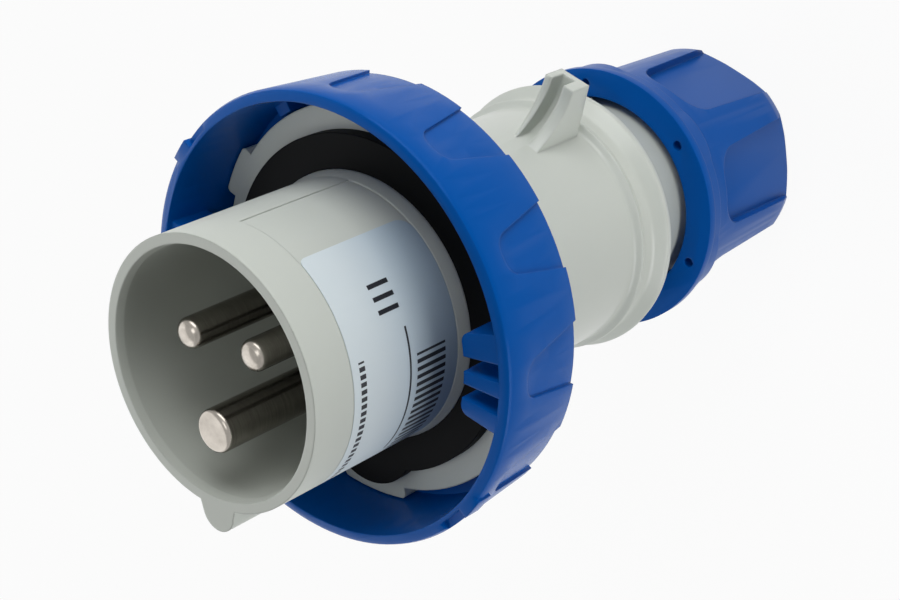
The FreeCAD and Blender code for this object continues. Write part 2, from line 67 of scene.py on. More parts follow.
class Body(Enum):
    """Rigid bodies that the pieces ride on."""

    HOUSING = "housing"
    RING = "ring"
    NUT = "nut"


class Joining(Enum):
    """Ways in which one closed shape changes another."""

    CUT = "DIFFERENCE"
    ADD = "UNION"
    TRIM = "INTERSECT"


@dataclass(frozen=True)
class Pole:
    """One contact: its name, slot, radius and place, and the width and depth of its tip's rounding."""

    name: str
    slot: str
    radius: float
    circle: float
    clock: float
    nose: tuple[float, float]


POLES = (
    Pole("line", "phase_pin", 2.5, 7.8, 300.0, (2.5, 1.7)),
    Pole("neutral", "phase_pin", 2.5, 7.8, 60.0, (2.5, 1.7)),
    Pole("earth", "earth_pin", 3.5, 9.3, 180.0, (0.9, 0.9)),
)


def node_span(node: str) -> tuple[float, float]:
    """Reads how far a node of the frame reaches along the axis.

    Args:
        node: Name of the node.

    Returns:
        Its lowest and highest point in millimetres.
    """
    low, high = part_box(node)
    return low.z / MM, high.z / MM


def node_reach(node: str) -> float:
    """Reads how far a node of the frame reaches sideways from the axis, in millimetres."""
    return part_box(node)[1].x / MM


def at_clock(radius: float, clock: float, height: float = 0.0) -> Vector:
    """Gives the point at a radius, clock angle and height, all in the caller's unit."""
    angle = math.radians(clock)
    return Vector((radius * math.sin(angle), radius * math.cos(angle), height))


# shapes


def smooth_object(name: str, form: bmesh.types.BMesh, scale: float = MM) -> bpy.types.Object:
    """Turns a finished bmesh into an object with smooth faces and crisp creases.

    Args:
        name: Name of the new piece.
        form: The shape, which is freed here.
        scale: Factor from the shape's unit to metres.

    Returns:
        The linked object, at the origin and unturned.
    """
    bmesh.ops.scale(form, vec=(scale, scale, scale), verts=form.verts)
    mesh = bpy.data.meshes.new(name)
    form.to_mesh(mesh)
    form.free()
    mesh.shade_smooth()
    mesh.set_sharp_from_angle(angle=CREASE)
    piece = bpy.data.objects.new(name, mesh)
    bpy.context.scene.collection.objects.link(piece)
    return piece


def rounded(corners: Sequence[Corner], turn_step: float = 14.0) -> list[Point]:
    """Rounds the corners of a closed section.

    Args:
        corners: Radius, height and fillet of each corner, fillet 0 for a sharp one.
        turn_step: Degrees of turn between two points of a fillet.

    Returns:
        The points of the rounded outline.
    """
    points: list[Point] = []
    for index, (x, y, fillet) in enumerate(corners):
        here = Vector((x, y))
        back = Vector(corners[index - 1][:2]) - here
        ahead = Vector(corners[(index + 1) % len(corners)][:2]) - here
        if fillet == 0.0:
            points.append((x, y))
            continue
        opening = back.angle(ahead)
        room = FILLET_SHARE * min(back.length, ahead.length)
        reach = min(fillet / math.tan(opening / 2), room)
        start, end = here + back.normalized() * reach, here + ahead.normalized() * reach
        count = max(2, round(math.degrees(math.pi - opening) / turn_step) + 1)
        for step in range(count + 1):
            share = step / count
            near = start.lerp(here, share).lerp(here.lerp(end, share), share)
            points.append((near.x, near.y))
    return points


def bowed(start: Point, middle: Point, end: Point, steps: int = 10) -> list[Point]:
    """Gives the points of a smooth curve through three places.

    Args:
        start: First place.
        middle: Place halfway along.
        end: Last place.
        steps: Straight pieces that the curve is made of.

    Returns:
        The points from start to end.
    """
    first, last = Vector(start), Vector(end)
    pull = 2 * Vector(middle) - (first + last) / 2
    shares = [step / steps for step in range(steps + 1)]
    points = [first.lerp(pull, share).lerp(pull.lerp(last, share), share) for share in shares]
    return [(point.x, point.y) for point in points]


def slab(outline: Sequence[Point], left: float, right: float) -> bmesh.types.BMesh:
    """Pushes an upright outline sideways into a solid.

    Args:
        outline: Distance from the axis and height of each point, in order.
        left: X of one side.
        right: X of the other side.

    Returns:
        A closed shape in millimetres that stands at 12 o'clock.
    """
    form = bmesh.new()
    face = form.faces.new([form.verts.new((left, radius, height)) for radius, height in outline])
    pushed = bmesh.ops.extrude_face_region(form, geom=[face])["geom"]
    moved = [vert for vert in pushed if isinstance(vert, bmesh.types.BMVert)]
    bmesh.ops.translate(form, vec=(right - left, 0, 0), verts=moved)
    bmesh.ops.recalc_face_normals(form, faces=form.faces)
    return form


def lathe(outline: Sequence[Point], steps: int) -> bmesh.types.BMesh:
    """Spins a closed outline about the plug's axis.

    Args:
        outline: Radius and height of each point, in order round the section.
        steps: Facets in a full turn.

    Returns:
        A closed shape in millimetres.
    """
    form = bmesh.new()
    rim = [form.verts.new((radius, 0.0, height)) for radius, height in outline]
    edges = [form.edges.new(pair) for pair in zip(rim, rim[1:] + rim[:1])]
    bmesh.ops.spin(form, geom=rim + edges, cent=(0, 0, 0), axis=(0, 0, 1), angle=2 * math.pi,
                   steps=steps, use_merge=True)
    bmesh.ops.remove_doubles(form, verts=form.verts, dist=SEAM)
    bmesh.ops.recalc_face_normals(form, faces=form.faces)
    return form


def moulding_copy(node: str, name: str) -> bpy.types.Object:
    """Copies a node of the frame as one clean closed moulding.

    Args:
        node: The node to copy.
        name: Name of the new piece.

    Returns:
        The new piece in metres, where the node is.
    """
    form = bmesh.new()
    form.from_mesh(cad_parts[node].data)
    bmesh.ops.remove_doubles(form, verts=form.verts, dist=WELD)
    bmesh.ops.dissolve_limit(form, angle_limit=FLAT, verts=form.verts, edges=form.edges)
    return smooth_object(name, form, scale=1.0)


def combine(piece: bpy.types.Object, other: bpy.types.Object, way: Joining) -> None:
    """Cuts, joins or trims a piece with one shape, and deletes that shape.

    Args:
        piece: The piece that is changed.
        other: The closed shape that it is combined with.
        way: What the shape does to the piece.
    """
    step = piece.modifiers.new("combine", "BOOLEAN")
    step.operation = way.value
    step.solver = "EXACT"
    step.object = other
    settle(piece)
    bpy.data.objects.remove(other)


def soften(piece: bpy.types.Object, width: float, segments: int = 3, past: float = 34.0) -> None:
    """Rounds the crisp edges of a piece.

    Args:
        piece: The piece to soften.
        width: Width of the rounding in millimetres.
        segments: Flat strips that the rounding is made of.
        past: Angle in degrees past which an edge counts as crisp.
    """
    bevel = piece.modifiers.new("soften", "BEVEL")
    bevel.width = width * MM
    bevel.segments = segments
    bevel.limit_method = "ANGLE"
    bevel.angle_limit = math.radians(past)
    bevel.use_clamp_overlap = True
    settle(piece)


def settle(piece: bpy.types.Object) -> None:
    """Applies a piece's modifiers to its mesh and marks its creases again.

    Args:
        piece: The piece, which keeps its name and place.
    """
    graph = bpy.context.evaluated_depsgraph_get()
    settled = bpy.data.meshes.new_from_object(piece.evaluated_get(graph))
    piece.modifiers.clear()
    piece.data = settled
    settled.shade_smooth()
    settled.set_sharp_from_angle(angle=CREASE)


# finishes


class NodeSheet:
    """Adds and joins the nodes of one shader tree."""

    def __init__(self, tree: bpy.types.NodeTree) -> None:
        """Keeps the tree that the nodes go into."""
        self.tree = tree

    def add(self, kind: str, inputs: dict | None = None, **settings: object) -> bpy.types.Node:
        """Adds one node.

        Args:
            kind: Node type.
            inputs: Values, or sockets to join, by input name or number.
            settings: Properties of the node itself.

        Returns:
            The new node.
        """
        node = self.tree.nodes.new(kind)
        for key, value in settings.items():
            setattr(node, key, value)
        for key, value in (inputs or {}).items():
            if isinstance(value, bpy.types.NodeSocket):
                self.tree.links.new(value, node.inputs[key])
            else:
                node.inputs[key].default_value = value
        return node

    def join(self, node: bpy.types.Node, sockets: dict[str, bpy.types.NodeSocket]) -> None:
        """Joins sockets to a node's inputs by name."""
        for label, socket in sockets.items():
            self.tree.links.new(socket, node.inputs[label])

    def maths(self, operation: str, first: object, second: object = 0.0,
              clamp: bool = False) -> bpy.types.NodeSocket:
        """Adds a Math node and gives its result."""
        node = self.add("ShaderNodeMath", {0: first, 1: second}, operation=operation, use_clamp=clamp)
        return node.outputs[0]

    def place(self) -> bpy.types.NodeSocket:
        """Gives the point on the piece in Object coordinates."""
        return self.add("ShaderNodeTexCoord").outputs["Object"]

    def noise(self, place: bpy.types.NodeSocket, scale: object, detail: float,
              rough: float = 0.5) -> bpy.types.NodeSocket:
        """Adds a Noise texture and gives its value."""
        inputs = {"Vector": place, "Scale": scale, "Detail": detail, "Roughness": rough}
        return self.add("ShaderNodeTexNoise", inputs).outputs[0]

    def mixed(self, share: object, first: object, second: object) -> bpy.types.NodeSocket:
        """Mixes two colours.

        Args:
            share: How much of the second colour there is, as a number or a socket.
            first: The first colour, or its socket.
            second: The second colour, or its socket.

        Returns:
            The mixed colour.
        """
        node = self.add("ShaderNodeMix", data_type="RGBA")
        for socket, value in ((node.inputs[0], share), (node.inputs[6], first), (node.inputs[7], second)):
            if isinstance(value, bpy.types.NodeSocket):
                self.tree.links.new(value, socket)
            else:
                socket.default_value = value
        return node.outputs[2]


def opaque(colour: Colour) -> tuple[float, float, float, float]:
    """Adds full alpha to a colour."""
    return (*colour, 1.0)


def new_group(
        name: str, inputs: Sequence[tuple[str, str, object]], outputs: Sequence[tuple[str, str]],
) -> tuple[bpy.types.NodeTree, NodeSheet, bpy.types.Node, bpy.types.Node]:
    """Makes an empty shader node group with named sockets.

    Args:
        name: Name of the group.
        inputs: Name, socket type and default of each input.
        outputs: Name and socket type of each output.

    Returns:
        The group, its sheet, its input node and its output node.
    """
    tree = bpy.data.node_groups.new(name, "ShaderNodeTree")
    for label, kind, default in inputs:
        tree.interface.new_socket(name=label, in_out="INPUT", socket_type=kind).default_value = default
    for label, kind in outputs:
        tree.interface.new_socket(name=label, in_out="OUTPUT", socket_type=kind)
    sheet = NodeSheet(tree)
    return tree, sheet, sheet.add("NodeGroupInput"), sheet.add("NodeGroupOutput")


def moulded_skin_group() -> bpy.types.NodeTree:
    """Builds the shared surface of moulded pieces: soft blotches, a fine grain and flow streaks.

    Returns:
        A group with the outputs Colour, Roughness and Height.
    """
    tree, sheet, given, result = new_group(
        "moulded_skin",
        (("Colour", "NodeSocketColor", (0.5, 0.5, 0.5, 1.0)),
         ("Deep", "NodeSocketColor", (0.4, 0.4, 0.4, 1.0)),
         ("Blotch", "NodeSocketFloat", 60.0), ("Grain", "NodeSocketFloat", 2500.0),
         ("Roughness", "NodeSocketFloat", 0.3), ("Spread", "NodeSocketFloat", 0.1)),
        (("Colour", "NodeSocketColor"), ("Roughness", "NodeSocketFloat"), ("Height", "NodeSocketFloat")))
    base, blotch_weight, streak_weight, middle = 0.5, 0.7, 0.3, 0.5
    streak_scale, streak_stretch = 420.0, (1.0, 1.0, 0.12)
    place = sheet.place()
    blotch = sheet.noise(place, given.outputs["Blotch"], 3.0)
    stretched = sheet.add("ShaderNodeMapping", {"Vector": place, "Scale": streak_stretch})
    streak = sheet.noise(stretched.outputs[0], streak_scale, 2.0)
    grain = sheet.noise(place, given.outputs["Grain"], 2.0)
    soft = sheet.maths("ADD", sheet.maths("MULTIPLY", blotch, blotch_weight), base)
    share = sheet.maths("ADD", soft, sheet.maths("MULTIPLY", streak, streak_weight), clamp=True)
    colour = sheet.mixed(share, given.outputs["Colour"], given.outputs["Deep"])
    swing = sheet.maths("MULTIPLY", sheet.maths("SUBTRACT", share, middle), given.outputs["Spread"])
    rough = sheet.maths("ADD", given.outputs["Roughness"], swing, clamp=True)
    sheet.join(result, {"Colour": colour, "Roughness": rough, "Height": grain})
    return tree


def turned_metal_group() -> bpy.types.NodeTree:
    """Builds the shared surface of turned metal: rings along the axis and dull dark patches, which are
    stains and on the pins also painted shade for their dark reflections.

    Returns:
        A group with the outputs Colour, Roughness and Height.
    """
    tree, sheet, given, result = new_group(
        "turned_metal",
        (("Bright", "NodeSocketColor", (0.7, 0.7, 0.7, 1.0)),
         ("Stain and shade", "NodeSocketColor", (0.4, 0.4, 0.4, 1.0)),
         ("Rings", "NodeSocketFloat", 4000.0), ("Roughness", "NodeSocketFloat", 0.2),
         ("Spread", "NodeSocketFloat", 0.2)),
        (("Colour", "NodeSocketColor"), ("Roughness", "NodeSocketFloat"), ("Height", "NodeSocketFloat")))
    ring_stretch, dark_patch_scale, dark_patch_rough = (0.04, 0.04, 1.0), 260.0, 0.7
    half, middle = 0.5, 0.4
    place = sheet.place()
    along = sheet.add("ShaderNodeMapping", {"Vector": place, "Scale": ring_stretch})
    rings = sheet.noise(along.outputs[0], given.outputs["Rings"], 2.0)
    dark_patches = sheet.noise(place, dark_patch_scale, 4.0, dark_patch_rough)
    share = sheet.maths("MULTIPLY", sheet.maths("ADD", rings, dark_patches), half, clamp=True)
    colour = sheet.mixed(share, given.outputs["Bright"], given.outputs["Stain and shade"])
    swing = sheet.maths("MULTIPLY", sheet.maths("SUBTRACT", share, middle), given.outputs["Spread"])
    rough = sheet.maths("ADD", given.outputs["Roughness"], swing, clamp=True)
    sheet.join(result, {"Colour": colour, "Roughness": rough, "Height": rings})
    return tree


def patch_group() -> bpy.types.NodeTree:
    """Builds a mask that is 1 inside a window of clock angle and height.

    Returns:
        A group with the output Mask.
    """
    labels = ("Clock", "Height") + PATCH_EDGES
    inputs = [(label, "NodeSocketFloat", 0.0) for label in labels]
    tree, sheet, given, result = new_group("print_patch", inputs, (("Mask", "NodeSocketFloat"),))
    mask: object = 1.0
    for value, low, high in (("Clock", *PATCH_EDGES[:2]), ("Height", *PATCH_EDGES[2:])):
        above = sheet.maths("GREATER_THAN", given.outputs[value], given.outputs[low])
        below = sheet.maths("LESS_THAN", given.outputs[value], given.outputs[high])
        mask = sheet.maths("MULTIPLY", sheet.maths("MULTIPLY", above, below), mask)
    sheet.join(result, {"Mask": mask})
    return tree


def skinned(name: str, skin: bpy.types.NodeTree, values: dict[str, object], edge_radius: float,
            relief: tuple[float, float]) -> bpy.types.Material:
    """Builds a material whose colour, roughness and relief come from a shared group.

    Args:
        name: Name of the material.
        skin: The shared group.
        values: What the group's inputs are set to.
        edge_radius: How far edges are shaded round, in millimetres.
        relief: Strength and height of the relief, the height in millimetres.

    Returns:
        The new material.
    """
    material = bpy.data.materials.new(name)
    material.use_nodes = True
    sheet = NodeSheet(material.node_tree)
    surface = sheet.add("ShaderNodeGroup", values, node_tree=skin)
    edge = sheet.add("ShaderNodeBevel", {"Radius": edge_radius * MM}, samples=6)
    bump = sheet.add("ShaderNodeBump", {"Strength": relief[0], "Distance": relief[1] * MM,
                                        "Height": surface.outputs["Height"], "Normal": edge.outputs[0]})
    sheet.join(material.node_tree.nodes["Principled BSDF"], {
        "Base Color": surface.outputs["Colour"], "Roughness": surface.outputs["Roughness"],
        "Normal": bump.outputs[0]})
    return material


@dataclass(frozen=True)
class Moulding:
    """Finish of a moulded piece, from glossy plastic to rubber."""

    name: str
    colour: Colour
    deep: Colour
    roughness: float
    spread: float = 0.12
    blotch: float = 60.0
    grain: float = 2500.0
    grain_depth: float = 0.004
    grain_strength: float = 0.35
    edge_radius: float = 0.3
    gloss: float = 0.5
    sheen: Colour = (1.0, 1.0, 1.0)
    index: float = 1.5

    def build(self, groups: dict[str, bpy.types.NodeTree]) -> bpy.types.Material:
        """Builds the material.

        Args:
            groups: The shared shader groups by name.

        Returns:
            The new material.
        """
        values = {"Colour": opaque(self.colour), "Deep": opaque(self.deep), "Blotch": self.blotch,
                  "Grain": self.grain, "Roughness": self.roughness, "Spread": self.spread}
        material = skinned(self.name, groups["moulded_skin"], values, self.edge_radius,
                           (self.grain_strength, self.grain_depth))
        shader = material.node_tree.nodes["Principled BSDF"]
        shader.inputs["Specular IOR Level"].default_value = self.gloss
        shader.inputs["Specular Tint"].default_value = opaque(self.sheen)
        shader.inputs["IOR"].default_value = self.index
        return material


@dataclass(frozen=True)
class TurnedMetal:
    """Finish of a turned metal piece."""

    name: str
    bright: Colour
    # dark patch colour: real stains, and on the pins partly painted shade
    stain_and_shade: Colour
    roughness: float
    spread: float = 0.2
    rings: float = 4000.0
    ring_depth: float = 0.01
    ring_strength: float = 0.5
    edge_radius: float = 0.15

    def build(self, groups: dict[str, bpy.types.NodeTree]) -> bpy.types.Material:
        """Builds the material.

        Args:
            groups: The shared shader groups by name.

        Returns:
            The new material.
        """
        values = {"Bright": opaque(self.bright), "Stain and shade": opaque(self.stain_and_shade), "Rings": self.rings,
                  "Roughness": self.roughness, "Spread": self.spread}
        material = skinned(self.name, groups["turned_metal"], values, self.edge_radius,
                           (self.ring_strength, self.ring_depth))
        material.node_tree.nodes["Principled BSDF"].inputs["Metallic"].default_value = 1.0
        return material


@dataclass(frozen=True)
class Patch:
    """One printed field on the label, as a window of clock angle and height."""

    clock: tuple[float, float]
    height: tuple[float, float]
    pitch: float = 0.0
    fill: float = 0.5


@dataclass(frozen=True)
class PrintedFilm:
    """Finish of the label: a pale coated film with plain dark fields, painted darker and bluer towards
    the ring end as painted shade of the ring's soft shadow.
    """

    name: str
    paper: Colour
    # painted shade: the colour that the film takes near the ring end, standing in for the ring's shadow
    shade: Colour
    ink: Colour
    roughness: float
    ring_shade_fade: tuple[float, float]
    patches: tuple[Patch, ...]
    # share of the painted shade colour in the film's blotches
    blotch_shade_share: float = 0.25
    blotch: float = 35.0
    grain: float = 900.0
    grain_depth: float = 0.01
    grain_strength: float = 0.3
    spread: float = 0.15

    def build(self, groups: dict[str, bpy.types.NodeTree]) -> bpy.types.Material:
        """Builds the material.

        Args:
            groups: The shared shader groups by name.

        Returns:
            The new material.
        """
        material = bpy.data.materials.new(self.name)
        material.use_nodes = True
        sheet = NodeSheet(material.node_tree)
        parts = sheet.add("ShaderNodeSeparateXYZ", {0: sheet.place()})
        clock = sheet.maths("DEGREES", sheet.maths("ARCTAN2", parts.outputs[0], parts.outputs[1]))
        height = sheet.maths("DIVIDE", parts.outputs[2], MM)
        # painted shade: the film blends from the shade colour at the ring end to its paper colour further
        # out
        span = {"Value": height, "From Min": self.ring_shade_fade[0], "From Max": self.ring_shade_fade[1]}
        ring_shade_fade = sheet.add("ShaderNodeMapRange", span, interpolation_type="SMOOTHSTEP")
        tone = sheet.mixed(ring_shade_fade.outputs[0], opaque(self.shade), opaque(self.paper))
        # the blotches mix in some of the painted shade colour
        values = {"Colour": tone, "Deep": sheet.mixed(self.blotch_shade_share, tone, opaque(self.shade)),
                  "Blotch": self.blotch, "Grain": self.grain, "Roughness": self.roughness,
                  "Spread": self.spread}
        skin = sheet.add("ShaderNodeGroup", values, node_tree=groups["moulded_skin"])
        inked = self.inked(sheet, groups["print_patch"], clock, height)
        relief = {"Strength": self.grain_strength, "Distance": self.grain_depth * MM,
                  "Height": skin.outputs["Height"]}
        bump = sheet.add("ShaderNodeBump", relief)
        sheet.join(material.node_tree.nodes["Principled BSDF"], {
            "Base Color": sheet.mixed(inked, skin.outputs["Colour"], opaque(self.ink)),
            "Roughness": skin.outputs["Roughness"], "Normal": bump.outputs[0]})
        return material

    def inked(self, sheet: NodeSheet, window: bpy.types.NodeTree, clock: bpy.types.NodeSocket,
              height: bpy.types.NodeSocket) -> bpy.types.NodeSocket:
        """Adds the masks of all patches up to one.

        Args:
            sheet: The material's sheet.
            window: The shared group that masks one patch.
            clock: Clock angle of the point in degrees.
            height: Height of the point in millimetres.

        Returns:
            A mask that is 1 where there is ink.
        """
        ink: object = 0.0
        for patch in self.patches:
            values = dict(zip(PATCH_EDGES, patch.clock + patch.height))
            values.update({"Clock": clock, "Height": height})
            mask = sheet.add("ShaderNodeGroup", values, node_tree=window).outputs["Mask"]
            if patch.pitch > 0.0:
                phase = sheet.maths("FRACT", sheet.maths("DIVIDE", clock, patch.pitch))
                mask = sheet.maths("MULTIPLY", mask, sheet.maths("LESS_THAN", phase, patch.fill))
            ink = sheet.maths("MAXIMUM", ink, mask)
        return ink


Finish = Moulding | TurnedMetal | PrintedFilm

GREY = Moulding("grey_moulding", (0.56, 0.59, 0.545), (0.53, 0.56, 0.515), 0.36, gloss=0.3,
                edge_radius=0.4)
HANDLE_GREY = Moulding("handle_grey", (0.56, 0.59, 0.545), (0.53, 0.56, 0.515), 0.24, gloss=0.45,
                       edge_radius=0.6)
RING_BLUE = Moulding("ring_blue", (0.0, 0.088, 0.39), (0.0, 0.078, 0.35), 0.2, grain_depth=0.002,
                     sheen=(0.4, 0.55, 1.0), index=1.2)
NUT_BLUE = Moulding("nut_blue", (0.0, 0.085, 0.38), (0.0, 0.075, 0.34), 0.24, grain_depth=0.002,
                    sheen=(0.4, 0.55, 1.0), index=1.2)
GASKET_BLACK = Moulding("gasket_black", (0.004, 0.0045, 0.005), (0.006, 0.0065, 0.007), 0.4, spread=0.2,
                        gloss=0.03)
SEAL_BLACK = Moulding("seal_black", (0.02, 0.02, 0.02), (0.03, 0.03, 0.03), 0.6, gloss=0.3)
CARRIER_GREY = Moulding("carrier_grey", (0.12, 0.125, 0.12), (0.1, 0.105, 0.1), 0.5)
BASKET_GREY = Moulding("basket_grey", (0.3, 0.31, 0.3), (0.25, 0.26, 0.25), 0.5)
# The pins' very dark patch colour is partly real staining and partly painted shade for their dark
# reflections of the shaded sleeve inside.
PIN_NICKEL = TurnedMetal("pin_nickel", (0.5, 0.465, 0.42), (0.12, 0.107, 0.09), 0.22)
SCREW_STEEL = TurnedMetal("screw_steel", (0.6, 0.6, 0.58), (0.4, 0.4, 0.38), 0.3)
PLATE_STEEL = TurnedMetal("plate_steel", (0.55, 0.55, 0.52), (0.38, 0.38, 0.36), 0.35)
LABEL_RULE = Patch((73.2, 134.0), (113.5, 113.9))
LABEL_BARS = Patch((85.7, 150.0), (105.8, 112.2), pitch=3.4, fill=0.52)
LABEL_BLOCKS = Patch((53.0, 66.6), (113.6, 117.9), pitch=5.3, fill=0.36)
LABEL_TICKS = Patch((78.6, 150.0), (123.2, 124.4), pitch=3.1, fill=0.62)
# The label's second colour is painted shade of the ring's soft shadow, laid on by height towards the
# ring.
LABEL_FILM = PrintedFilm("label_film", (0.68, 0.74, 0.75), (0.42, 0.53, 0.61), (0.012, 0.013, 0.016),
                         0.35, (103.0, 122.0), (LABEL_RULE, LABEL_BARS, LABEL_BLOCKS, LABEL_TICKS))


class Workshop:
    """Holds the finishes and hands each finished piece to the frame."""

    def __init__(self) -> None:
        """Builds the shared shader groups."""
        makers = (moulded_skin_group, turned_metal_group, patch_group)
        self.groups = {tree.name: tree for tree in (make() for make in makers)}
        self.materials: dict[str, bpy.types.Material] = {}

    def material(self, finish: Finish) -> bpy.types.Material:
        """Gives a finish's material, built on first use.

        Args:
            finish: The finish that is asked for.

        Returns:
            Its material.
        """
        if finish.name not in self.materials:
            self.materials[finish.name] = finish.build(self.groups)
        return self.materials[finish.name]

    def dress(self, node: str, finish: Finish) -> None:
        """Gives a node of the frame its finish.

        Args:
            node: Name of the node, which keeps its mesh and place.
            finish: The finish that it gets.
        """
        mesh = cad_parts[node].data
        mesh.materials.clear()
        mesh.materials.append(self.material(finish))
        LOG.info("dressed %s in %s", node, finish.name)

    def place(self, piece: bpy.types.Object, body: Body, slot: str, finish: Finish,
              replaces: Sequence[str]) -> None:
        """Hands a new piece to the frame.

        Args:
            piece: The finished piece, where it belongs.
            body: The body that it rides on.
            slot: The record's material slot; not used.
            finish: The finish that it gets.
            replaces: Nodes that it stands for.
        """
        piece.data.materials.clear()
        piece.data.materials.append(self.material(finish))
        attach(piece, body.value)
        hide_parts(*replaces)
        LOG.info("placed %s with %d faces", piece.name, len(piece.data.polygons))


# sub-assemblies


@dataclass
class FrontEnd:
    """Sleeve and flange moulding with its label and face gasket."""

    def build(self, shop: Workshop) -> None:
        """Dresses the front moulding, the label and the gasket.

        Args:
            shop: The workshop that keeps the finishes.
        """
        shop.dress("front_housing", GREY)
        shop.dress("label", LABEL_FILM)
        shop.dress("face_gasket", GASKET_BLACK)
        shop.dress("body_seal", SEAL_BLACK)


@dataclass
class Contacts:
    """Pins, their clamping screws and plates, and the carrier that holds them."""

    barrel_radius: float = 4.2
    barrel_fillet: float = 0.25
    rear_fillet: float = 0.35
    wire_hole_radius: float = 2.4
    wire_hole_depth: float = 11.0
    screw_hole_radius: float = 1.7
    carrier_thickness: float = 5.5
    waist: float = 0.25
    waist_lift: float = 0.3
    tip_steps: int = 12
    pin_steps: int = 64
    drill_steps: int = 32

    def build(self, shop: Workshop) -> None:
        """Makes the pins and dresses what holds them.

        Args:
            shop: The workshop that keeps the finishes.
        """
        for pole in POLES:
            self.pin(shop, pole)
            shop.dress(pole.name + "_terminal_screw", SCREW_STEEL)
            shop.dress(pole.name + "_clamp_plate", PLATE_STEEL)
        shop.dress("contact_carrier", CARRIER_GREY)
        shop.dress("carrier_screw_1", SCREW_STEEL)
        shop.dress("carrier_screw_2", SCREW_STEEL)

    def pin(self, shop: Workshop, pole: Pole) -> None:
        """Turns one contact and drills its screw hole.

        Args:
            shop: The workshop that keeps the finishes.
            pole: The contact to make.
        """
        form = lathe(self.profile(pole), steps=self.pin_steps)
        centre = at_clock(pole.circle, pole.clock)
        bmesh.ops.translate(form, vec=centre, verts=form.verts)
        piece = smooth_object(pole.name + "_contact", form)
        screw = sum(node_span(pole.name + "_terminal_screw")) / 2
        combine(piece, self.screw_drill(pole, centre + Vector((0, 0, screw))), Joining.CUT)
        shop.place(piece, Body.HOUSING, pole.slot, PIN_NICKEL, [pole.name + "_pin"])

    def profile(self, pole: Pole) -> list[Point]:
        """Gives the section of a contact with its rounded tip, waist, barrel and wire hole.

        Args:
            pole: The contact that it is for.

        Returns:
            Radius and height of each point.
        """
        rear, tip = node_span(pole.name + "_pin")
        collar = node_span("contact_carrier")[1]
        shoulder, slim = collar - self.carrier_thickness, pole.radius - self.waist
        floor = rear + self.wire_hole_depth
        turns = [math.radians(90.0 * step / self.tip_steps) for step in range(self.tip_steps + 1)]
        wide, deep = pole.nose
        dome = [(pole.radius + wide * (math.sin(turn) - 1), tip + deep * (math.cos(turn) - 1))
                for turn in turns]
        flat = [(0.0, tip)] if wide < pole.radius else []
        return flat + dome + rounded([
            (pole.radius, collar + self.waist_lift, 0.0),
            (slim, collar + self.waist_lift, 0.0), (slim, shoulder, 0.0),
            (self.barrel_radius, shoulder, self.barrel_fillet),
            (self.barrel_radius, rear, self.rear_fillet),
            (self.wire_hole_radius, rear, self.barrel_fillet), (self.wire_hole_radius, floor, 0.0),
            (0.0, floor, 0.0),
        ])

    def screw_drill(self, pole: Pole, place: Vector) -> bpy.types.Object:
        """Makes the round shape that cuts a contact's screw hole.

        Args:
            pole: The contact that is drilled.
            place: Where the hole meets the contact's own axis, in millimetres.

        Returns:
            A cylinder that points away from the plug's axis.
        """
        drill, wide = bmesh.new(), self.screw_hole_radius
        bmesh.ops.create_cone(drill, cap_ends=True, segments=self.drill_steps, radius1=wide, radius2=wide,
                              depth=2 * self.barrel_radius)
        level = Matrix.Rotation(math.radians(90), 3, "X")
        outward = Matrix.Rotation(math.radians(-pole.clock), 3, "Z")
        bmesh.ops.rotate(drill, cent=(0, 0, 0), matrix=level, verts=drill.verts)
        bmesh.ops.translate(drill, vec=(0, self.barrel_radius, 0), verts=drill.verts)
        bmesh.ops.rotate(drill, cent=(0, 0, 0), matrix=outward, verts=drill.verts)
        bmesh.ops.translate(drill, vec=place, verts=drill.verts)
        return smooth_object("screw_drill", drill)


@dataclass
class RingAssembly:
    """Bayonet coupling ring."""

    edge: float = 0.25

    def build(self, shop: Workshop) -> None:
        """Dresses the ring.

        Args:
            shop: The workshop that keeps the finishes.
        """
        ring = moulding_copy("coupling_ring", "bayonet_ring")
        soften(ring, self.edge)
        shop.place(ring, Body.RING, "ring_plastic", RING_BLUE, ["coupling_ring"])


